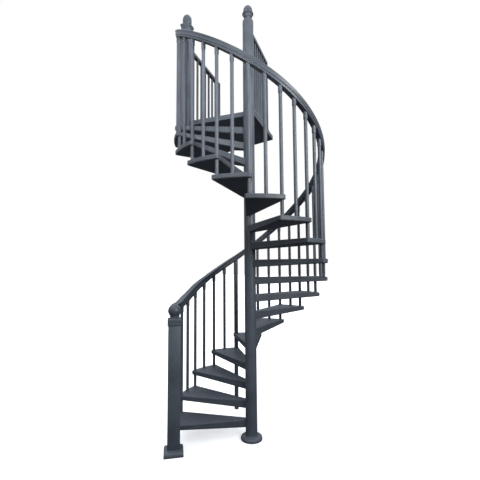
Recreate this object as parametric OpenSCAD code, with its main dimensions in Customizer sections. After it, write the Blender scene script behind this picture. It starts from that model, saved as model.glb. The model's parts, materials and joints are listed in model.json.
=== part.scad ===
// Spiral staircase: centre pole, wedge treads, swept handrail, guarded landing.
// Millimetres, +Z up. The pole axis meets the floor at the origin and the landing
// lies behind the pole, with its front edge along X.

/* [Stair] */
// height of the first tread above the floor
first_rise = 184.4; // [150:0.1:220]
// height from one tread to the next
rise = 172.4; // [150:0.1:190]
// turn from one tread to the next, degrees
step_angle = 21.61; // [20.5:0.01:22.5]
// angle of one tread between its outer corners, degrees
tread_angle = 26.45; // [25.5:0.05:28]
// radius of the outer end of a tread
tread_r = 762; // [700:1:850]
// depth of a tread at its outer end
end_depth = 41; // [30:0.5:60]
// depth of a tread at the pole
hub_depth = 76.5; // [60:0.5:110]
// rounding of the outer corners seen from above
corner_r = 20; // [12:1:30]
// rounding of the tread's upper and lower edges
edge_r = 6; // [3:0.5:9]

/* [Pole] */
// outside diameter of the centre pole
pole_d = 114.3; // [90:0.1:140]
// straight pole above the landing surface
pole_over = 935; // [850:1:1100]
// width of the domed foot
foot_d = 209; // [190:1:260]
// height of the domed foot
foot_h = 45; // [35:1:70]

/* [Handrail] */
// distance of handrail and balusters from the outer end of a tread
rail_inset = 35; // [30:1:90]
// width of the handrail
rail_w = 66; // [56:1:80]
// height of the handrail section
rail_h = 73; // [60:1:84]
// handrail top above the tread noses on the lower flight
rail_low = 916; // [840:1:960]
// handrail top above the tread noses half way up
rail_mid = 1022; // [900:1:1060]
// handrail top above the tread noses on the upper flight
rail_high = 986; // [900:1:1060]
// handrail top above the tread noses at the upper newel
rail_end = 1018; // [900:1:1060]
// diameter of a round baluster
baluster_d = 31; // [18:0.5:34]
// diameter of the sleeve under the handrail
sleeve_d = 38; // [30:0.5:44]
// length of the sleeve under the handrail
sleeve_h = 55; // [35:1:80]
// diameter of the support post that stands on the floor
support_d = 48.3; // [38:0.1:49]

/* [Newels] */
// width of both square newels
newel_w = 96; // [80:1:110]
// width of the lower newel's foot
newel_foot_w = 158; // [140:1:200]
// diameter of the ball where the handrail starts
ball_d = 108; // [100:1:120]
// turn from the first tread's nose forward to the lower newel, degrees
newel_ahead = 8.4; // [8:0.1:16]
// distance of the lower newel from the pole axis
newel_r = 752; // [720:1:800]
// upper newel above the landing surface, under its cap
top_newel_over = 1036; // [1000:1:1150]

/* [Landing] */
// depth of the landing at its right side
landing_d = 764; // [650:1:1000]
// slant of the landing's back edge, degrees
landing_slant = 18; // [0:0.5:20]
// thickness of the landing
landing_t = 50; // [36:1:64]
// landing to the right of the pole axis
landing_right = 54; // [10:1:60]
// height of the landing guards
guard_h = 850; // [800:1:980]
// width of the guard end post
guard_post_w = 38; // [32:1:50]
// diameter of a guard baluster
guard_bar_d = 26; // [14:0.5:28]
// guard balusters along one side
guard_bars = 7; // [4:1:8]

/* [Hidden] */

fit = 0.3;
coat = "SlateGray";
tread_count = 18;
pole_r = pole_d / 2;
hub_r = 17;
rail_r = tread_r - rail_inset;
function tread_z(t) = first_rise + rise * (t - 1);
landing_z = tread_z(tread_count + 1);
landing_left = -tread_r;
function landing_back(x) = landing_d + (landing_right - x) * tan(landing_slant);

// Pole foot, shoulder and finial.
socket_z = 12;
foot_lip = 2;
foot_dome_w = 26;
foot_dome_z = 16;
foot_dome_h = 20;
foot_collar = 9;
foot_taper = 6;
pole_top = landing_z + pole_over;
shoulder_w = 16;
shoulder_rise = 26;
shoulder_h = 39;
neck_r = pole_r * 0.55;
bowl_h = 82;
bowl_r = pole_r * 0.87;
band_r = pole_r * 1.05;
band_h = 9;
dome_r = pole_r * 0.86;
dome_h = 92;

// The first tread's nose is found back from the landing, so the flight ends there.
top_angle = -177.54;
function lead(t) = top_angle + step_angle * (tread_count + 1 - t);
function turn_at(a) = tread_count + 1 - (a - top_angle) / step_angle;
function ease(x) = let (c = max(0, min(1, x))) c * c * (3 - 2 * c);

// A tie baluster stands in the overlap of two treads, this far behind the upper one's nose.
tie_lag = (tread_angle - step_angle) * 0.37;
tie_turn = tie_lag / step_angle;

// The support post takes the place of this tread's tie baluster, in the middle of the overlap.
support_tread = 5;
support_lag = (tread_angle - step_angle) / 2;

// Handrail path: level at the lower newel, then along the tread noses.
flat_turn = 1.65;
climb_turn = 2.85;
join_turns = 1.1;
swell_turn = 5;
swell_turns = 3.5;
settle_turn = 9;
settle_turns = 3;
close_turn = 13.5;
close_turns = 4.5;
function rail_turn(t) =
    t >= climb_turn ? t :
    let (d = max(0, t - flat_turn)) (flat_turn + climb_turn) / 2 + d * d / (2 * (climb_turn - flat_turn));
function rail_over(t) =
    rail_low
    + (rail_mid - rail_low) * ease((t - swell_turn) / swell_turns)
    + (rail_high - rail_mid) * ease((t - settle_turn) / settle_turns)
    + (rail_end - rail_high) * ease((t - close_turn) / close_turns);
function rail_top(t) = tread_z(rail_turn(t)) + rail_over(t);
function rail_radius(t) = rail_r + (newel_r - rail_r) * ease((flat_turn - t) / join_turns);
function rail_foot(t) = rail_top(t) - rail_h - fit;
sleeve_taper = 6;
function rail_slope(t) = (rail_top(t + 0.02) - rail_top(t - 0.02)) / (0.04 * step_angle * PI / 180 * rail_r);

// Handrail section, half of it from the middle of the underside to the crown.
half_section = [
    for (p = [[0.34, 0], [0.39, 0.05], [0.39, 0.25], [0.46, 0.32], [0.41, 0.41],
              [0.43, 0.68], [0.5, 0.8], [0.47, 0.92], [0.3, 0.99]])
        [p[0] * rail_w, p[1] * rail_h]
];
section = concat(
    half_section,
    [[0, rail_h]],
    [for (i = [len(half_section) - 1 : -1 : 0]) [-half_section[i][0], half_section[i][1]]]
);

// Lower newel.
newel_angle = lead(1) + newel_ahead;
newel_end_t = turn_at(newel_angle);
rail_start_z = rail_top(0);
ball_z = rail_start_z - rail_h * 0.7;
ball_flat = ball_d * 0.35;
ball_neck_r = ball_d * 0.36;
ball_neck_h = 12;
ball_sink = 8;
cap_h = 66;
cap_over = 6;
cap_groove = 1.5;
newel_h = ball_z - ball_d / 2 - ball_neck_h - cap_h;
newel_foot_h = 86;
newel_foot_lip = 3;
shoulder_run = 20;
newel_foot_face = 28;
newel_foot_round = 22;
newel_foot_neck = 58;

// Upper newel, on the back corner of the last tread and against the landing.
top_newel_in = 22;
top_newel_x = top_newel_in - rail_r;
top_newel_y = -fit - newel_w / 2;
top_newel_face = top_newel_y - newel_w / 2 - fit;
top_newel_top = landing_z + top_newel_over;
flare_h = 63;
flare_over = 9;
flare_sink = 2;
bullet_rim = 10;
bullet_h = 124;

// Handrail pieces run between these two ends.
rail_t0 = newel_end_t + asin(ball_flat / newel_r) / step_angle;
rail_t1 = turn_at(-180 + asin(-top_newel_face / rail_r));
rail_pieces = 8;
rail_rings = 14;

// Landing guards.
guard_back = 200;
guard_rail_w = 44;
guard_rail_h = 32;
guard_low = 20;
guard_low_h = 25;
guard_low_in = 4;
guard_foot = 5;
guard_foot_h = 12;
guard_post_up = 8;
guard_left_x = top_newel_x;
guard_right_x = landing_right - guard_post_w / 2 - guard_foot - 1;

// Round upright solid with softened upper and lower edges, top at z = 0.
module puck(r, h, sides) {
    translate([0, 0, -h]) cylinder(r = r - edge_r, h = h, $fn = sides);
    translate([0, 0, -h + edge_r]) cylinder(r = r, h = h - 2 * edge_r, $fn = sides);
    translate([0, 0, -h + edge_r]) cylinder(r = r - edge_r * 0.29, h = h - edge_r * 1.29, $fn = sides);
}

// Square moulding: one outline run along X and along Y, kept where both agree.
module square_moulding(outline) {
    full = concat(outline, [for (i = [len(outline) - 1 : -1 : 0]) [-outline[i][0], outline[i][1]]]);
    reach = 2 * max([for (p = outline) p[0]]) + 2;
    intersection() {
        rotate([90, 0, 0]) linear_extrude(reach, center = true) polygon(full);
        rotate([90, 0, 90]) linear_extrude(reach, center = true) polygon(full);
    }
}

// Quarter of an ellipse from (a0) to (a1) degrees, as outline points.
function arc_points(cx, cz, rx, rz, a0, a1, n) = [
    for (i = [0 : n]) let (a = a0 + (a1 - a0) * i / n) [cx + rx * cos(a), cz + rz * sin(a)]
];

// Pole
module center_pole() {
    color(coat) {
        translate([0, 0, socket_z]) cylinder(r = pole_r, h = pole_top - socket_z, $fn = 96);
        translate([0, 0, pole_top]) rotate_extrude($fn = 96) polygon(concat(
            [[0, 0]],
            arc_points(pole_r - shoulder_w, 0, shoulder_w, shoulder_rise, 0, 90, 6),
            [[neck_r, (shoulder_rise + shoulder_h) / 2], [neck_r, shoulder_h], [0, shoulder_h]]
        ));
    }
}

module pole_base() {
    r = foot_d / 2;
    color(coat) difference() {
        rotate_extrude($fn = 96) polygon(concat(
            [[0, 0], [r - foot_lip, 0], [r, foot_lip]],
            arc_points(r - foot_dome_w, foot_dome_z, foot_dome_w, foot_dome_h, 0, 90, 6),
            [[pole_r + foot_collar, foot_h - foot_taper], [pole_r + foot_taper, foot_h], [0, foot_h]]
        ));
        translate([0, 0, socket_z]) cylinder(r = pole_r + fit, h = foot_h, $fn = 96);
    }
}

module pole_finial() {
    color(coat) translate([0, 0, pole_top + shoulder_h]) rotate_extrude($fn = 96) polygon(concat(
        [[0, 0], [neck_r, 0]],
        arc_points(neck_r, bowl_h, bowl_r - neck_r, bowl_h * 0.8, -85, 0, 6),
        [[band_r, bowl_h + band_h / 3], [band_r, bowl_h + band_h]],
        arc_points(0, bowl_h + band_h, dome_r, dome_h, 0, 90, 12)
    ));
}

// Treads
module tread_blank() {
    reach = tread_r - corner_r;
    tuck = asin(corner_r / reach);
    hull() {
        translate([0, -hub_r, 0]) puck(hub_r, hub_depth, 32);
        for (i = [0 : 4])
            rotate(-tuck - (tread_angle - 2 * tuck) * i / 4)
                translate([reach, 0, 0])
                    puck(corner_r, end_depth, 24);
    }
}

// Hole for an upright of diameter d, so far behind the tread's nose
module tread_hole(lag, d) {
    rotate(-lag)
        translate([rail_r, 0, -hub_depth])
            cylinder(d = d + 2 * fit, h = hub_depth + 1, $fn = 48);
}

module tread(k) {
    color(coat) translate([0, 0, tread_z(k)]) rotate(lead(k)) difference() {
        tread_blank();
        translate([0, 0, -hub_depth - 1]) cylinder(r = pole_r + fit, h = hub_depth + 2, $fn = 96);
        if (k == support_tread) tread_hole(support_lag, support_d);
        else if (k > 1) tread_hole(tie_lag, baluster_d);
        if (k == support_tread - 1) tread_hole(support_lag + step_angle, support_d);
    }
}

// Landing
module landing_platform() {
    color(coat) translate([0, 0, landing_z - landing_t]) difference() {
        linear_extrude(landing_t) polygon([
            [landing_left, 0], [landing_right, 0],
            [landing_right, landing_back(landing_right)], [landing_left, landing_back(landing_left)]
        ]);
        translate([0, 0, -1]) cylinder(r = pole_r + fit, h = landing_t + 2, $fn = 96);
    }
}

// Newels
module at_bottom_newel() {
    rotate(newel_angle) translate([newel_r, 0, 0]) rotate(lead(1) - newel_angle) children();
}

module bottom_newel_post() {
    color(coat) at_bottom_newel()
        translate([-newel_w / 2, -newel_w / 2, 0]) cube([newel_w, newel_w, newel_h]);
}

module bottom_newel_base() {
    w = newel_foot_w / 2;
    bore = newel_w / 2 + fit;
    color(coat) at_bottom_newel() difference() {
        square_moulding(concat(
            [[w - newel_foot_lip, 0], [w, newel_foot_lip]],
            arc_points(w - shoulder_run, newel_foot_face, shoulder_run, newel_foot_round, 0, 90, 6),
            [[bore + 2 * newel_foot_lip, newel_foot_neck], [bore + newel_foot_lip, newel_foot_h]]
        ));
        translate([-bore, -bore, -1]) cube([2 * bore, 2 * bore, newel_foot_h + 2]);
    }
}

module bottom_newel_cap() {
    w = newel_w / 2;
    face = w + cap_over;
    groove = face - cap_groove;
    color(coat) translate([0, 0, newel_h]) {
        at_bottom_newel() {
            square_moulding(concat(
                [[w + 0.5, 0], [face, 0.12 * cap_h]],
                [for (z = [0.35, 0.58]) each [
                    [face, z * cap_h - cap_groove], [groove, z * cap_h], [face, z * cap_h + cap_groove]
                ]],
                [[face, 0.82 * cap_h], [w, 0.95 * cap_h], [w - cap_over, cap_h]]
            ));
            translate([0, 0, cap_h - 1]) cylinder(r = ball_neck_r, h = ball_neck_h + ball_sink + 1, $fn = 64);
        }
        rotate(newel_angle) translate([newel_r, 0, ball_z - newel_h]) difference() {
            sphere(d = ball_d, $fn = 64);
            translate([-ball_d, -ball_flat - ball_d, -ball_d]) cube([2 * ball_d, ball_d, 2 * ball_d]);
        }
    }
}

module top_newel_post() {
    z = tread_z(tread_count);
    color(coat) translate([top_newel_x - newel_w / 2, top_newel_y - newel_w / 2, z])
        cube([newel_w, newel_w, top_newel_top - z]);
}

module top_newel_finial() {
    w = newel_w / 2;
    color(coat) translate([top_newel_x, top_newel_y, top_newel_top]) {
        square_moulding(concat(
            [[w + 0.5, 0]],
            [for (p = [[0.25, 0.3], [0.8, 0.54], [1, 0.67], [0.8, 0.8]]) [w + p[0] * flare_over, p[1] * flare_h]],
            [[w - flare_over, flare_h]]
        ));
        translate([0, 0, flare_h - flare_sink]) rotate_extrude($fn = 64) polygon(concat(
            [[0, 0], [w - flare_over, 0]],
            arc_points(0, bullet_h / 2, w + flare_sink, bullet_h / 2 - bullet_rim, -40, 0, 4),
            arc_points(0, bullet_h / 2, w + flare_sink, bullet_h / 2, 9, 90, 9)
        ));
    }
}

// Handrail: one ring of points where the path stands at turn t
function ring(t) = [
    for (p = section)
        let (a = lead(t), r = rail_radius(t) + p[0])
            [r * cos(a), r * sin(a), rail_top(t) - rail_h + p[1]]
];

// End ring, flat against a face that stands off from the radial plane at angle a0
function end_ring(t, a0, off) = [
    for (p = section)
        let (r = rail_radius(t) + p[0], a = a0 + asin(off / r))
            [r * cos(a), r * sin(a), rail_top(turn_at(a)) - rail_h + p[1]]
];

module handrail(i) {
    span = (rail_t1 - rail_t0) / rail_pieces;
    gap = fit / (rail_r * step_angle * PI / 180);
    t0 = rail_t0 + span * (i - 1) + (i > 1 ? gap : 0);
    t1 = rail_t0 + span * i;
    m = len(section);
    rings = [
        for (j = [0 : rail_rings])
            i == 1 && j == 0 ? end_ring(t0, newel_angle, -ball_flat - fit) :
            i == rail_pieces && j == rail_rings ? end_ring(t1, -180, -top_newel_face) :
            ring(t0 + (t1 - t0) * j / rail_rings)
    ];
    points = [for (g = rings) each g];
    sides = [
        for (j = [0 : rail_rings - 1], q = [0 : m - 1])
            let (a = j * m + q, b = j * m + (q + 1) % m)
                each [[a, b, b + m], [a, b + m, a + m]]
    ];
    first = [[for (q = [m - 1 : -1 : 0]) q]];
    last = [[for (q = [0 : m - 1]) rail_rings * m + q]];
    color(coat) polyhedron(points, concat(sides, first, last), convexity = 6);
}

// Balusters: from a tread up to the sloping underside of the handrail
module under_rail(t) {
    over = support_d + sleeve_d;
    rotate(lead(t)) translate([rail_r, 0, 0]) difference() {
        children();
        translate([0, 0, rail_foot(t)]) rotate([-atan(rail_slope(t)), 0, 0])
            translate([-over, -2 * over, 0]) cube([2 * over, 4 * over, 2 * over]);
    }
}

module baluster(t, foot_z) {
    top = rail_foot(t);
    under_rail(t) {
        translate([0, 0, foot_z]) cylinder(d = baluster_d, h = top + sleeve_d - foot_z, $fn = 48);
        translate([0, 0, top - sleeve_h]) cylinder(d = sleeve_d, h = sleeve_h + sleeve_d, $fn = 48);
        translate([0, 0, top - sleeve_h - sleeve_taper])
            cylinder(d1 = baluster_d + 1, d2 = sleeve_d, h = sleeve_taper, $fn = 48);
    }
}

module support_post() {
    t = support_tread + support_lag / step_angle;
    color(coat) under_rail(t) cylinder(d = support_d, h = rail_foot(t) + support_d, $fn = 64);
}

module tie_balusters() {
    color(coat)
        for (k = [2 : tread_count])
            if (k != support_tread) baluster(k + tie_turn, tread_z(k - 1));
}

module tread_balusters() {
    color(coat) for (k = [1 : tread_count]) baluster(k + tie_turn + 0.5, tread_z(k));
}

// Landing guards
module guard(x) {
    end_y = landing_back(x) - guard_back;
    w = guard_post_w / 2;
    pitch = end_y / (guard_bars + 1);
    translate([x, 0, landing_z]) {
        translate([-guard_rail_w / 2, 0, guard_h - guard_rail_h]) cube([guard_rail_w, end_y, guard_rail_h]);
        translate([-w + guard_low_in, 0, guard_low])
            cube([guard_post_w - 2 * guard_low_in, end_y, guard_low_h]);
        translate([-w, end_y - w, 0]) cube([guard_post_w, guard_post_w, guard_h + guard_post_up]);
        translate([-w - guard_foot, end_y - w - guard_foot, 0])
            cube([guard_post_w + 2 * guard_foot, guard_post_w + 2 * guard_foot, guard_foot_h]);
        for (i = [1 : guard_bars])
            translate([0, pitch * i, guard_low + guard_low_h / 2])
                cylinder(d = guard_bar_d, h = guard_h - guard_low - guard_low_h, $fn = 40);
    }
}

module left_guard() {
    color(coat) guard(guard_left_x);
}

module right_guard() {
    color(coat) difference() {
        guard(guard_right_x);
        translate([0, 0, landing_z - 1]) cylinder(r = pole_r + fit, h = guard_h + 2, $fn = 96);
    }
}

center_pole();
pole_base();
pole_finial();
tread(1);  // tread_01
tread(2);  // tread_02
tread(3);  // tread_03
tread(4);  // tread_04
tread(5);  // tread_05
tread(6);  // tread_06
tread(7);  // tread_07
tread(8);  // tread_08
tread(9);  // tread_09
tread(10);  // tread_10
tread(11);  // tread_11
tread(12);  // tread_12
tread(13);  // tread_13
tread(14);  // tread_14
tread(15);  // tread_15
tread(16);  // tread_16
tread(17);  // tread_17
tread(18);  // tread_18
landing_platform();
bottom_newel_post();
bottom_newel_base();
bottom_newel_cap();
top_newel_post();
top_newel_finial();
handrail(1);  // handrail_1
handrail(2);  // handrail_2
handrail(3);  // handrail_3
handrail(4);  // handrail_4
handrail(5);  // handrail_5
handrail(6);  // handrail_6
handrail(7);  // handrail_7
handrail(8);  // handrail_8
tie_balusters();
tread_balusters();
support_post();
left_guard();
right_guard();
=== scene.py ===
"""Looks of a spiral staircase: powder-coat finishes, a swept rail, turned tops, studio and camera."""
import json
import logging
import math
from dataclasses import dataclass, field
from enum import Enum
from typing import Any, Sequence

import bpy
from mathutils import Matrix, Vector


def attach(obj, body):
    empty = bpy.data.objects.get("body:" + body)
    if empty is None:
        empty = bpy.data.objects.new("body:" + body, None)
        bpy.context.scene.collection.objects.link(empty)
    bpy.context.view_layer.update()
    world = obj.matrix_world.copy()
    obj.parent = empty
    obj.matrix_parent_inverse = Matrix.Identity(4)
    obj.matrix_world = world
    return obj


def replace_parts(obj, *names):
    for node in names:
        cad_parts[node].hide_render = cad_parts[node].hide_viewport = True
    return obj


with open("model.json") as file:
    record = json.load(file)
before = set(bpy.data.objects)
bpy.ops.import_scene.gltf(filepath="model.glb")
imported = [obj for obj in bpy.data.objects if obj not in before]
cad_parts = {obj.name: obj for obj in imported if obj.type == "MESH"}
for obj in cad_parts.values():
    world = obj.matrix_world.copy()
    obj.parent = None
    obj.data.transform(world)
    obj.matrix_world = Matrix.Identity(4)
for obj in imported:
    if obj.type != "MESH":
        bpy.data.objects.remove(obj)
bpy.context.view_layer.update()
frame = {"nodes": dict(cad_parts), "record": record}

LOG = logging.getLogger("staircase")
BODY = "root"
WHITE = (1.0, 1.0, 1.0, 1.0)
# Rounding of the edges of posts and of mouldings, in metres.
POST_EDGE = 0.003
MOULDING_EDGE = 0.0015
# Points of a shape: how far out and how high.
Outline = list[tuple[float, float]]


class Coat(Enum):
    """Material slots of the part."""

    FRAME = "frame_coat"
    TREAD = "tread_coat"
    RAIL = "rail_coat"


class Base(Enum):
    """Plan shapes that a loft starts from, by their number of sides."""

    SQUARE = 4
    ROUND = 64


DRESSED: dict[Coat, bpy.types.Material] = {}


class Socket:
    """A shader socket that takes part in Python arithmetic."""

    def __init__(self, graph: "Graph", link: bpy.types.NodeSocket) -> None:
        """Wraps one output socket of a graph."""
        self.graph = graph
        self.link = link

    def _math(self, operation: str, *values: Any) -> "Socket":
        """Adds one Math node.

        Args:
            operation: Blender's name of the operation.
            values: sockets or numbers, in the node's order.

        Returns:
            The node's output.
        """
        inputs = {i: v for i, v in enumerate(values)}
        return self.graph.node("ShaderNodeMath", {"operation": operation}, inputs)

    def __add__(self, other: Any) -> "Socket":
        """Sum."""
        return self._math("ADD", self, other)

    __radd__ = __add__

    def __sub__(self, other: Any) -> "Socket":
        """Difference."""
        return self._math("SUBTRACT", self, other)

    def __rsub__(self, other: Any) -> "Socket":
        """Difference with the socket on the right."""
        return self._math("SUBTRACT", other, self)

    def __mul__(self, other: Any) -> "Socket":
        """Product."""
        return self._math("MULTIPLY", self, other)

    __rmul__ = __mul__

    def clamp(self, low: float = 0.0, high: float = 1.0) -> "Socket":
        """The value kept between two limits."""
        return self._math("MINIMUM", self._math("MAXIMUM", self, low), high)

    def ramp(self, start: float, end: float) -> "Socket":
        """Smooth step from 0 at start to 1 at end."""
        settings = {"interpolation_type": "SMOOTHSTEP"}
        inputs = {"Value": self, "From Min": start, "From Max": end}
        return self.graph.node("ShaderNodeMapRange", settings, inputs)


class Graph:
    """Builds the node tree of one material or world."""

    def __init__(self, tree: bpy.types.NodeTree) -> None:
        """Starts from an empty tree."""
        self.tree = tree
        tree.nodes.clear()

    def node(self, kind: str, settings: dict[str, Any] | None = None, inputs: dict[Any, Any] | None = None,
             output: Any = 0) -> Socket:
        """Adds a node.

        Args:
            kind: the node's type name.
            settings: properties that are set first.
            inputs: values or sockets by input name or number.
            output: name or number of the output to hand back.

        Returns:
            The chosen output, wrapped.
        """
        made = self.tree.nodes.new(kind)
        for key, value in (settings or {}).items():
            setattr(made, key, value)
        for key, value in (inputs or {}).items():
            if isinstance(value, Socket):
                self.tree.links.new(value.link, made.inputs[key])
            else:
                made.inputs[key].default_value = value
        return Socket(self, made.outputs[output]) if made.outputs else Socket(self, None)

    def mix(self, low: Any, high: Any, factor: Any) -> Socket:
        """Mixes two colours.

        Args:
            low: colour or socket at factor 0.
            high: colour or socket at factor 1.
            factor: number or socket.

        Returns:
            The mixed colour.
        """
        settings = {"data_type": "RGBA"}
        return self.node("ShaderNodeMix", settings, {0: factor, 6: low, 7: high}, 2)

    def noise(self, place: Socket, scale: float, detail: float = 3.0, roughness: float = 0.55) -> Socket:
        """Noise value at a place.

        Args:
            place: coordinates.
            scale: cells to a metre.
            detail: number of finer layers.
            roughness: weight of the finer layers.

        Returns:
            A value about 0.5.
        """
        inputs = {"Vector": place, "Scale": scale, "Detail": detail, "Roughness": roughness}
        return self.node("ShaderNodeTexNoise", None, inputs)


def colour(r: float, g: float, b: float) -> tuple[float, float, float, float]:
    """A linear colour with full alpha."""
    return (r, g, b, 1.0)


@dataclass(frozen=True)
class PowderCoat:
    """Slate powder coat with orange peel, cloudy tone, fine specks and paler upward faces, which stand for
    dust and for a painted sheen of the light from above.

    Attributes:
        coat: material slot that the finish is for.
        tone: main linear colour.
        rough: mean roughness.
        peel: strength of the orange-peel bump.
        dust_and_sheen: share of paler colour on upward faces, partly dust and partly painted sheen.
        speckle: share of fine dark specks.
        cloud_scale: cells to a metre of the cloudy tone.
        grit_scale: cells to a metre of the grain in the paler upward faces (dust and painted sheen).
        speck_scale: cells to a metre of the specks.
        peel_scale: cells to a metre of the orange peel.
        peel_depth: depth of the orange peel in metres.
    """

    coat: Coat
    tone: tuple[float, float, float]
    rough: float = 0.45
    peel: float = 0.12
    dust_and_sheen: float = 0.2
    speckle: float = 0.2
    cloud_scale: float = 3.5
    grit_scale: float = 90.0
    speck_scale: float = 240.0
    peel_scale: float = 420.0
    peel_depth: float = 0.0008

    def shade(self, share: float, lift: float = 0.0) -> tuple[float, float, float, float]:
        """The coat's colour, scaled by a share and lifted towards white."""
        return colour(*(share * v + lift for v in self.tone))

    def material(self) -> bpy.types.Material:
        """Builds the material.

        Returns:
            A new material with its nodes.
        """
        made = bpy.data.materials.new(f"slate_{self.coat.value}")
        made.use_nodes = True
        g = Graph(made.node_tree)
        place = g.node("ShaderNodeTexCoord", output="Object")
        cloud = g.noise(place, self.cloud_scale, detail=4.0)
        peel = g.noise(place, self.peel_scale, detail=2.0)
        grit = g.noise(place, self.grit_scale, detail=3.0, roughness=0.6)
        specks = g.noise(place, self.speck_scale, detail=2.0, roughness=0.7).ramp(0.52, 0.7) * self.speckle
        normal = g.node("ShaderNodeNewGeometry", output="Normal")
        up = g.node("ShaderNodeSeparateXYZ", None, {0: normal}, 2).ramp(0.6, 0.95)
        # Paler upward faces: partly dust, partly a painted sheen that stands in for light from above.
        dust_and_sheen_mask = (up * grit.ramp(0.42, 0.7) * self.dust_and_sheen).clamp()
        deep, pale, dark = self.shade(0.72), self.shade(0.55, lift=0.09), self.shade(0.4)
        base = g.mix(deep, self.shade(1.0), cloud.ramp(0.3, 0.62))
        base = g.mix(base, pale, dust_and_sheen_mask)
        base = g.mix(base, dark, specks)
        rough = (self.rough + 0.16 * (cloud - 0.5) + 0.1 * (grit - 0.5) + 0.2 * dust_and_sheen_mask).clamp(0.15, 0.95)
        bump = g.node("ShaderNodeBump", None, {
            "Strength": self.peel, "Distance": self.peel_depth, "Height": peel,
        })
        shader = g.node("ShaderNodeBsdfPrincipled", None, {
            "Base Color": base, "Roughness": rough, "Normal": bump, "Specular IOR Level": 0.5,
        })
        g.node("ShaderNodeOutputMaterial", None, {"Surface": shader})
        return made


@dataclass
class PhotoCamera:
    """Camera that stands where the picture was taken.

    Attributes:
        place: location in metres.
        heading: plan direction of the view, degrees from +X.
        pitch: upward tilt, degrees.
        roll: turn about the view axis, degrees.
        focal_px: focal length in pixels of the square picture.
        picture_px: side of the square picture in pixels.
        sensor_mm: width of the camera's sensor in millimetres.
        sight_m: distance that the camera sees, in metres.
    """

    place: tuple[float, float, float] = (1.11407, -3.27256, 1.67257)
    heading: float = 110.45
    pitch: float = 4.356
    roll: float = -0.392
    focal_px: float = 341.96
    picture_px: float = 480.0
    sensor_mm: float = 36.0
    sight_m: float = 200.0

    def build(self) -> bpy.types.Object:
        """Adds the camera and makes it the scene's own.

        Returns:
            The camera object.
        """
        data = bpy.data.cameras.new("photo_camera")
        data.sensor_width = self.sensor_mm
        data.lens = self.focal_px / self.picture_px * self.sensor_mm
        data.clip_end = self.sight_m
        a, p, r = (math.radians(v) for v in (self.heading, self.pitch, self.roll))
        ahead = Vector((math.cos(p) * math.cos(a), math.cos(p) * math.sin(a), math.sin(p)))
        side = Vector((math.sin(a), -math.cos(a), 0.0))
        top = side.cross(ahead)
        right = side * math.cos(r) + top * math.sin(r)
        above = top * math.cos(r) - side * math.sin(r)
        turn = Matrix((right, above, -ahead)).transposed().to_4x4()
        camera = bpy.data.objects.new("photo_camera", data)
        camera.matrix_world = Matrix.Translation(self.place) @ turn
        bpy.context.scene.collection.objects.link(camera)
        bpy.context.scene.camera = camera
        return camera


class Shop:
    """Small set of modelling steps shared by the pieces."""

    @staticmethod
    def clear() -> None:
        """Leaves edit mode and deselects everything."""
        if bpy.context.object and bpy.context.object.mode != "OBJECT":
            bpy.ops.object.mode_set(mode="OBJECT")
        bpy.ops.object.select_all(action="DESELECT")

    @classmethod
    def finish(cls, piece: bpy.types.Object, name: str, coat: Coat,
               smooth: float = 30.0) -> bpy.types.Object:
        """Names a piece, smooths it and hands it to the frame.

        Args:
            piece: the modelled object.
            name: its name.
            coat: the material slot that it wears.
            smooth: largest angle that is shaded smooth, degrees.

        Returns:
            The same object.
        """
        cls.clear()
        piece.name = name
        piece.data.name = name
        piece.select_set(True)
        bpy.context.view_layer.objects.active = piece
        bpy.ops.object.transform_apply(location=True, rotation=True, scale=True)
        bpy.ops.object.shade_smooth_by_angle(angle=math.radians(smooth))
        piece.data.materials.clear()
        piece.data.materials.append(DRESSED[coat])
        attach(piece, BODY)
        LOG.info("%s: %d faces", name, len(piece.data.polygons))
        return piece

    @classmethod
    def loft(cls, outline: Outline, base: Base, bevel: float = 0.0) -> bpy.types.Object:
        """Builds an upright solid by extruding and scaling a round or square base.

        Args:
            outline: pairs of half width and height, from the bottom up.
            base: plan shape of the base.
            bevel: rounding of the edges of a square one, in metres.

        Returns:
            The new object, about the Z axis.
        """
        cls.clear()
        square = base is Base.SQUARE
        stretch = math.sqrt(2.0) if square else 1.0
        turn = math.radians(45.0) if square else 0.0
        half, z = outline[0]
        bpy.ops.mesh.primitive_circle_add(vertices=base.value, radius=half * stretch, fill_type="NGON",
                                          location=(0.0, 0.0, z), rotation=(0.0, 0.0, turn))
        piece = bpy.context.active_object
        bpy.ops.object.transform_apply(location=True, rotation=True, scale=True)
        bpy.ops.object.mode_set(mode="EDIT")
        bpy.ops.mesh.select_all(action="SELECT")
        for now, up in outline[1:]:
            bpy.ops.mesh.extrude_region_move(TRANSFORM_OT_translate={"value": (0.0, 0.0, up - z)})
            share = now / half
            bpy.ops.transform.resize(value=(share, share, 1.0), center_override=(0.0, 0.0, up))
            half, z = now, up
        bpy.ops.mesh.select_all(action="SELECT")
        bpy.ops.mesh.normals_make_consistent(inside=False)
        bpy.ops.object.mode_set(mode="OBJECT")
        if bevel:
            cls.bevel(piece, bevel)
        return piece

    @staticmethod
    def bevel(piece: bpy.types.Object, width: float, segments: int = 2, sharp: float = 35.0) -> None:
        """Rounds the sharp edges of a piece with an applied modifier.

        Args:
            piece: the object.
            width: width of the rounding in metres.
            segments: faces across the rounding.
            sharp: smallest angle that counts as an edge, degrees.
        """
        made = piece.modifiers.new("bevel", "BEVEL")
        made.width = width
        made.segments = segments
        made.limit_method = "ANGLE"
        made.angle_limit = math.radians(sharp)
        bpy.context.view_layer.objects.active = piece
        bpy.ops.object.modifier_apply(modifier=made.name)

    @classmethod
    def join(cls, pieces: Sequence[bpy.types.Object]) -> bpy.types.Object:
        """Joins pieces into one.

        Args:
            pieces: the objects to join.

        Returns:
            The first of them, which holds all meshes.
        """
        cls.clear()
        for piece in pieces:
            piece.select_set(True)
        bpy.context.view_layer.objects.active = pieces[0]
        bpy.ops.object.join()
        return bpy.context.active_object


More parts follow.
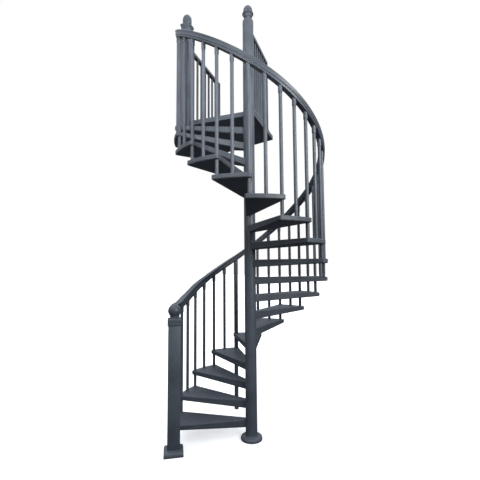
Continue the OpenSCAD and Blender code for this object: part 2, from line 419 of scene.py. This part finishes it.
def arc(cx: float, cz: float, rx: float, rz: float, start: float, stop: float, steps: int) -> Outline:
    """Points of an elliptic arc.

    Args:
        cx: middle of the arc across.
        cz: middle of the arc in height.
        rx: half width of the ellipse.
        rz: half height of the ellipse.
        start: first angle in degrees.
        stop: last angle in degrees.
        steps: number of chords.

    Returns:
        The points in order.
    """
    turns = [math.radians(start + (stop - start) * i / steps) for i in range(steps + 1)]
    return [(cx + rx * math.cos(a), cz + rz * math.sin(a)) for a in turns]


def raised(outline: Outline, height: float) -> Outline:
    """The same outline, moved up by a height."""
    return [(half, z + height) for half, z in outline]


@dataclass(frozen=True)
class Flight:
    """Places along the stair, in turns: turn k is the nose of tread k.

    Attributes:
        first_rise: height of the first tread.
        rise: height from tread to tread.
        step_angle: plan turn from tread to tread, degrees.
        top_angle: plan angle of the landing's front edge, degrees.
        count: number of treads.
    """

    first_rise: float = 0.1844
    rise: float = 0.1724
    step_angle: float = 21.61
    top_angle: float = -177.54
    count: int = 18

    def angle(self, turn: float) -> float:
        """Plan angle at a turn, in radians."""
        return math.radians(self.top_angle + self.step_angle * (self.count + 1 - turn))

    def turn(self, degrees: float) -> float:
        """Turn at a plan angle in degrees."""
        return self.count + 1 - (degrees - self.top_angle) / self.step_angle

    def height(self, turn: float) -> float:
        """Height of the nose line at a turn."""
        return self.first_rise + self.rise * (turn - 1)


@dataclass(frozen=True)
class Blend:
    """A smooth change along the stair, from 0 to 1.

    Attributes:
        start: turn where it begins.
        run: number of turns that it takes.
    """

    start: float
    run: float

    def at(self, turn: float) -> float:
        """Share of the change that is made at a turn."""
        c = max(0.0, min(1.0, (turn - self.start) / self.run))
        return c * c * (3 - 2 * c)


@dataclass
class Handrail:
    """Moulded handrail swept in one run from the ball to the upper newel.

    Attributes:
        flight: the stair's places.
        radius: radius of the rail's middle line.
        newel_radius: radius at the lower newel.
        width: width of the section.
        tall: height of the section.
        low: top above the noses on the lower flight.
        mid: top above the noses half way up.
        high: top above the noses on the upper flight.
        end: top above the noses at the upper newel.
        to_mid: change from low to mid.
        to_high: change from mid to high.
        to_end: change from high to end.
        flat_turn: turn where the level part ends.
        climb_turn: turn where the full climb begins.
        newel_ahead: turn from the first nose forward to the lower newel, degrees.
        settle: change from the newel's radius to the rail's own.
        swell: extra height of the crown where the climb begins.
        swell_in: where the swell grows.
        swell_out: where the swell fades.
        start_drop: extra depth of the underside in the ball.
        leave_ball: where that depth fades.
        newel_face: distance of the upper newel's near face from the X axis.
        newel_bite: turns that the rail runs on into the upper newel.
        rings: number of sections along the rail.
    """

    flight: Flight = field(default_factory=Flight)
    radius: float = 0.727
    newel_radius: float = 0.752
    width: float = 0.066
    tall: float = 0.073
    low: float = 0.916
    mid: float = 1.022
    high: float = 0.986
    end: float = 1.018
    to_mid: Blend = Blend(5.0, 3.5)
    to_high: Blend = Blend(9.0, 3.0)
    to_end: Blend = Blend(13.5, 4.5)
    flat_turn: float = 1.65
    climb_turn: float = 2.85
    newel_ahead: float = 8.4
    settle: Blend = Blend(0.55, 1.1)
    swell: float = 0.021
    swell_in: Blend = Blend(1.5, 0.8)
    swell_out: Blend = Blend(2.9, 1.1)
    start_drop: float = 0.024
    leave_ball: Blend = Blend(0.6, 0.5)
    newel_face: float = 0.0985
    newel_bite: float = 0.09
    rings: int = 190

    def top(self, turn: float) -> float:
        """Height of the rail's top, level at the lower newel and eased into the climb.

        Args:
            turn: place along the stair.

        Returns:
            The height in metres.
        """
        t = turn
        if turn < self.climb_turn:
            d = max(0.0, turn - self.flat_turn)
            t = (self.flat_turn + self.climb_turn) / 2 + d * d / (2 * (self.climb_turn - self.flat_turn))
        over = self.low + (self.mid - self.low) * self.to_mid.at(turn)
        over += (self.high - self.mid) * self.to_high.at(turn)
        over += (self.end - self.high) * self.to_end.at(turn)
        return self.flight.height(t) + over

    def crown(self, turn: float) -> float:
        """Height of the crown at a turn, with the swell where the climb begins."""
        return self.top(turn) + self.swell * self.swell_in.at(turn) * (1 - self.swell_out.at(turn))

    def under(self, turn: float) -> float:
        """Height of the underside at a turn, deeper where it enters the ball."""
        return self.top(turn) - self.tall - self.start_drop * (1 - self.leave_ball.at(turn))

    def line(self, turn: float) -> float:
        """Radius of the rail's middle line at a turn."""
        return self.newel_radius + (self.radius - self.newel_radius) * self.settle.at(turn)

    def section(self) -> Outline:
        """Outline of the moulding: base, bead, broad hollow face, lip and crown.

        Returns:
            Points across in metres, and up as a share of the height.
        """
        base = [(0.0, 0.0), (0.17, 0.0), (0.33, 0.0), (0.37, 0.012), (0.388, 0.045)]
        base += [(0.392, 0.16), (0.396, 0.285)]
        bead = [(0.41, 0.303), (0.44, 0.312), (0.462, 0.332), (0.469, 0.358), (0.462, 0.384), (0.444, 0.403)]
        face = [(0.436, 0.42), (0.438, 0.5), (0.446, 0.6), (0.458, 0.69), (0.474, 0.765), (0.491, 0.815)]
        crown = [(0.5, 0.855), (0.494, 0.898), (0.472, 0.936), (0.42, 0.963), (0.33, 0.984), (0.2, 0.995)]
        half = base + bead + face + crown
        full = half + [(0.0, 1.0)] + [(-x, z) for x, z in reversed(half[1:])]
        return [(x * self.width, z) for x, z in full]

    def build(self) -> bpy.types.Object:
        """Sweeps the section, closes both ends and dresses the rail.

        Returns:
            The handrail object.
        """
        outline = self.section()
        start = self.flight.turn(math.degrees(self.flight.angle(1)) + self.newel_ahead)
        face = -180 + math.degrees(math.asin(self.newel_face / self.radius))
        stop = self.flight.turn(face) + self.newel_bite
        turns = [start + (stop - start) * i / (self.rings - 1) for i in range(self.rings)]
        Shop.clear()
        bpy.ops.mesh.primitive_circle_add(vertices=len(outline), fill_type="NOTHING")
        rail = bpy.context.active_object
        a, r, z = self.flight.angle(start), self.line(start), self.under(start)
        tall = self.crown(start) - z
        for vertex, (across, up) in zip(rail.data.vertices, outline):
            vertex.co = ((r + across) * math.cos(a), (r + across) * math.sin(a), z + up * tall)
        bpy.ops.object.mode_set(mode="EDIT")
        bpy.ops.mesh.select_all(action="SELECT")
        for before, now in zip(turns, turns[1:]):
            turn = self.flight.angle(now) - self.flight.angle(before)
            out = self.line(now) - self.line(before)
            a = self.flight.angle(now)
            bpy.ops.mesh.spin(steps=1, angle=-turn, center=(0.0, 0.0, 0.0), axis=(0.0, 0.0, 1.0))
            z = self.under(now)
            shift = (out * math.cos(a), out * math.sin(a), z - self.under(before))
            bpy.ops.transform.translate(value=shift)
            grow = (self.crown(now) - z) / (self.crown(before) - self.under(before))
            bpy.ops.transform.resize(value=(1.0, 1.0, grow), center_override=(0.0, 0.0, z))
        bpy.ops.mesh.select_all(action="SELECT")
        bpy.ops.mesh.fill_holes(sides=0)
        bpy.ops.mesh.normals_make_consistent(inside=False)
        bpy.ops.object.mode_set(mode="OBJECT")
        rail = Shop.finish(rail, "handrail_sweep", Coat.RAIL, smooth=40.0)
        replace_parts(rail, *(f"handrail_{i}" for i in range(1, 9)))
        return rail


@dataclass
class PoleTop:
    """Shoulder, neck, bowl, thin ring and dome on the centre pole.

    Attributes:
        base: height where the piece closes over the pole.
        radius: outer radius of the closing sleeve.
    """

    base: float = 4.2226
    radius: float = 0.0575

    def build(self) -> bpy.types.Object:
        """Turns the finial in one piece.

        Returns:
            The finial object.
        """
        outline = [(self.radius, 0.0), (self.radius, 0.034)] + arc(0.0365, 0.034, 0.021, 0.03, 8, 90, 7)
        outline += [(0.0335, 0.068), (0.0325, 0.074), (0.0335, 0.079)]
        outline += arc(0.0325, 0.119, 0.0175, 0.036, -68, -4, 7)
        outline += [(0.0525, 0.1195), (0.0582, 0.1215), (0.06, 0.1255)]
        outline += [(0.0588, 0.1305), (0.054, 0.1335), (0.0502, 0.1345)]
        outline += arc(0.0, 0.156, 0.0502, 0.0655, -6, 84, 14)[1:] + [(0.0025, 0.2215)]
        piece = Shop.loft(raised(outline, self.base), Base.ROUND)
        piece = Shop.finish(piece, "pole_top_turned", Coat.FRAME, smooth=35.0)
        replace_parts(piece, "pole_finial")
        return piece


@dataclass
class UpperNewel:
    """Square post with a flared square cap and a bullet top.

    Attributes:
        place: plan position of its axis.
        half: half width of the post.
        foot: height of its foot on the last tread.
        top: height of the post under the cap.
    """

    place: tuple[float, float] = (-0.705, -0.0483)
    half: float = 0.048
    foot: float = 3.1152
    top: float = 4.3236

    def build(self) -> None:
        """Models post and cap and puts them in place."""
        post = Shop.loft([(self.half, self.foot), (self.half, self.top)], Base.SQUARE, POST_EDGE)
        flare = [(0.0485, -0.008), (0.0495, 0.004), (0.0515, 0.016), (0.0545, 0.026), (0.0568, 0.034)]
        flare += [(0.0568, 0.045), (0.0545, 0.0505), (0.0475, 0.054), (0.044, 0.06)]
        bullet = [(0.0425, 0.058), (0.0475, 0.0625), (0.0495, 0.07), (0.0498, 0.092)]
        bullet += arc(0.0, 0.112, 0.05, 0.064, 0, 86, 12) + [(0.001, 0.1762)]
        cap = Shop.join([Shop.loft(raised(flare, self.top), Base.SQUARE, MOULDING_EDGE),
                         Shop.loft(raised(bullet, self.top), Base.ROUND)])
        for piece, name, node in ((post, "upper_newel_shaft", "top_newel_post"),
                                  (cap, "upper_newel_cap", "top_newel_finial")):
            piece.location = (*self.place, 0.0)
            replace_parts(Shop.finish(piece, name, Coat.FRAME), node)


@dataclass
class LowerNewel:
    """Square post on a stepped foot, with a grooved cap, a short neck and a ball.

    Attributes:
        flight: the stair's places.
        radius: distance of its axis from the pole.
        ahead: turn from the first nose forward to its axis, degrees.
        half: half width of the post.
        foot_half: half width of the foot.
        top: height of the post under the cap.
        cap_half: half width of the cap.
        cap_tall: height of the cap.
        groove: depth of the cap's two grooves.
        neck: radius of the neck.
        ball: radius of the ball.
        ball_height: height of the ball's middle.
    """

    flight: Flight = field(default_factory=Flight)
    radius: float = 0.752
    ahead: float = 8.4
    half: float = 0.0565
    foot_half: float = 0.087
    top: float = 1.1328
    cap_half: float = 0.063
    cap_tall: float = 0.066
    groove: float = 0.002
    neck: float = 0.043
    ball: float = 0.060
    ball_height: float = 1.2648

    def foot(self) -> bpy.types.Object:
        """Models the foot: plinth, rounded shoulder and a thin lip round the post.

        Returns:
            The foot, about the Z axis.
        """
        w = self.foot_half
        steps = [(w - 0.003, 0.0), (w, 0.003), (w, 0.02), (w - 0.0015, 0.022)]
        steps += arc(w - 0.026, 0.022, 0.0245, 0.022, 5, 80, 7)
        steps += [(self.half + 0.003, 0.0455), (self.half + 0.0005, 0.0505)]
        return Shop.loft(steps, Base.SQUARE, MOULDING_EDGE)

    def cap(self) -> bpy.types.Object:
        """Models the cap with its two grooves, the neck and the ball.

        Returns:
            The joined piece, about the Z axis.
        """
        w, g = self.cap_half, self.groove
        steps = [(self.half + 0.0005, 0.0), (w, 0.12 * self.cap_tall)]
        for share in (0.35, 0.58):
            z = share * self.cap_tall
            steps += [(w, z - g), (w - g, z), (w, z + g)]
        steps += [(w, 0.82 * self.cap_tall), (self.half, 0.95 * self.cap_tall), (self.neck, self.cap_tall)]
        cap = Shop.loft(raised(steps, self.top), Base.SQUARE)
        low = math.degrees(math.acos(self.neck / self.ball))
        seat = self.top + self.cap_tall
        turned = [(self.neck + 0.002, self.top + 0.9 * self.cap_tall), (self.neck + 0.002, seat + 0.002)]
        turned += [(self.neck - 0.002, seat + 0.007)]
        turned += arc(0.0, self.ball_height, self.ball, self.ball, -low, 88, 22)
        return Shop.join([cap, Shop.loft(turned, Base.ROUND)])

    def build(self) -> None:
        """Models post, foot and cap and puts them in place."""
        post = Shop.loft([(self.half, 0.0), (self.half, self.top)], Base.SQUARE, POST_EDGE)
        turn = self.flight.angle(1)
        axis = turn + math.radians(self.ahead)
        for piece, name, node in ((post, "lower_newel_shaft", "bottom_newel_post"),
                                  (self.foot(), "lower_newel_foot", "bottom_newel_base"),
                                  (self.cap(), "lower_newel_cap", "bottom_newel_cap")):
            piece.rotation_euler = (0.0, 0.0, turn)
            piece.location = (self.radius * math.cos(axis), self.radius * math.sin(axis), 0.0)
            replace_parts(Shop.finish(piece, name, Coat.FRAME), node)


@dataclass(frozen=True)
class Lamp:
    """Square area lamp.

    Attributes:
        name: lamp name.
        place: its location in metres.
        aim: the point that it faces.
        size: side of the lamp in metres.
        watts: its power.
        spread: angle of its beam, degrees.
    """

    name: str
    place: tuple[float, float, float]
    aim: tuple[float, float, float]
    size: float
    watts: float
    spread: float

    def build(self) -> None:
        """Adds the lamp to the scene."""
        data = bpy.data.lights.new(self.name, "AREA")
        data.spread = math.radians(self.spread)
        data.size = self.size
        data.energy = self.watts
        lamp = bpy.data.objects.new(self.name, data)
        lamp.location = self.place
        lamp.rotation_mode = "QUATERNION"
        lamp.rotation_quaternion = (Vector(self.aim) - Vector(self.place)).to_track_quat("-Z", "Y")
        bpy.context.scene.collection.objects.link(lamp)


@dataclass
class Studio:
    """Pale floor, sky-like light from above, a soft key from the right and a weak fill from the front.

    Attributes:
        floor_size: side of the floor in metres.
        floor_bounce: floor colour for bounced light.
        floor_seen: floor colour for the camera.
        floor_glow: light that the floor shows to the camera alone.
        sky_low: colour of the surround at the horizon and below.
        sky_high: colour of the surround overhead.
        lamps: the key and the fill.
    """

    floor_size: float = 120.0
    floor_bounce: tuple[float, float, float] = (0.075, 0.075, 0.08)
    floor_seen: tuple[float, float, float] = (0.97, 0.97, 0.97)
    floor_glow: float = 0.45
    sky_low: tuple[float, float, float] = (0.15, 0.16, 0.175)
    sky_high: tuple[float, float, float] = (1.6, 1.7, 1.85)
    lamps: tuple[Lamp, ...] = (
        Lamp("key_lamp", (4.6, -2.6, 3.6), (0.0, 0.0, 3.1), size=1.6, watts=46.0, spread=70.0),
        Lamp("fill_lamp", (-0.4, -4.8, 2.9), (-0.35, 0.3, 3.6), size=0.9, watts=12.0, spread=40.0),
    )

    def build(self) -> None:
        """Adds floor, world and lamps."""
        self.floor()
        self.world()
        for lamp in self.lamps:
            lamp.build()
        LOG.info("studio: %d lamps", len(self.lamps))

    def floor(self) -> None:
        """Adds the floor, white to the camera and dim to bounced light."""
        Shop.clear()
        bpy.ops.mesh.primitive_plane_add(size=self.floor_size)
        plane = bpy.context.active_object
        plane.name = "studio_floor"
        made = bpy.data.materials.new("studio_floor")
        made.use_nodes = True
        g = Graph(made.node_tree)
        seen = self.seen(g)
        tone = g.mix(colour(*self.floor_bounce), colour(*self.floor_seen), seen)
        matte = g.node("ShaderNodeBsdfDiffuse", None, {"Color": tone})
        glow = g.node("ShaderNodeEmission", None, {"Color": WHITE, "Strength": seen * self.floor_glow})
        shader = g.node("ShaderNodeAddShader", None, {0: matte, 1: glow})
        g.node("ShaderNodeOutputMaterial", None, {"Surface": shader})
        plane.data.materials.append(made)

    @staticmethod
    def seen(g: Graph) -> Socket:
        """1 for rays from the camera, 0 for rays that carry light."""
        return g.node("ShaderNodeLightPath", output="Is Camera Ray")

    def world(self) -> None:
        """Sets a white surround that lights more from above."""
        world = bpy.data.worlds.new("studio_world")
        bpy.context.scene.world = world
        world.use_nodes = True
        g = Graph(world.node_tree)
        ray = g.node("ShaderNodeTexCoord", output="Generated")
        height = g.node("ShaderNodeSeparateXYZ", None, {0: ray}, 2)
        sky = g.mix(colour(*self.sky_low), colour(*self.sky_high), height.ramp(0.0, 1.0))
        tone = g.mix(sky, WHITE, self.seen(g))
        shader = g.node("ShaderNodeBackground", None, {"Color": tone, "Strength": 1.0})
        g.node("ShaderNodeOutputWorld", None, {"Surface": shader})


FINISHES = (
    PowderCoat(Coat.FRAME, (0.083, 0.097, 0.118)),
    PowderCoat(Coat.TREAD, (0.074, 0.086, 0.104), rough=0.55, dust_and_sheen=0.4, speckle=0.6),
    # The rail's upward faces are made paler most of all: painted sheen of the top light as well as dust.
    PowderCoat(Coat.RAIL, (0.05, 0.061, 0.077), rough=0.45, dust_and_sheen=0.8),
)


def dress_frame() -> None:
    """Gives every node of the frame the finish of its slot."""
    for finish in FINISHES:
        DRESSED[finish.coat] = finish.material()
    for row in frame["record"]["subparts"]:
        node = frame["nodes"][row["node"]]
        node.data.materials.clear()
        node.data.materials.append(DRESSED[Coat(row["material_slot"])])


def main() -> None:
    """Builds the looks in order."""
    logging.basicConfig(level=logging.INFO, format="%(message)s")
    bpy.context.scene.view_settings.view_transform = "Standard"
    dress_frame()
    Handrail().build()
    PoleTop().build()
    UpperNewel().build()
    LowerNewel().build()
    Studio().build()
    PhotoCamera().build()


if __name__ == "__main__":
    main()
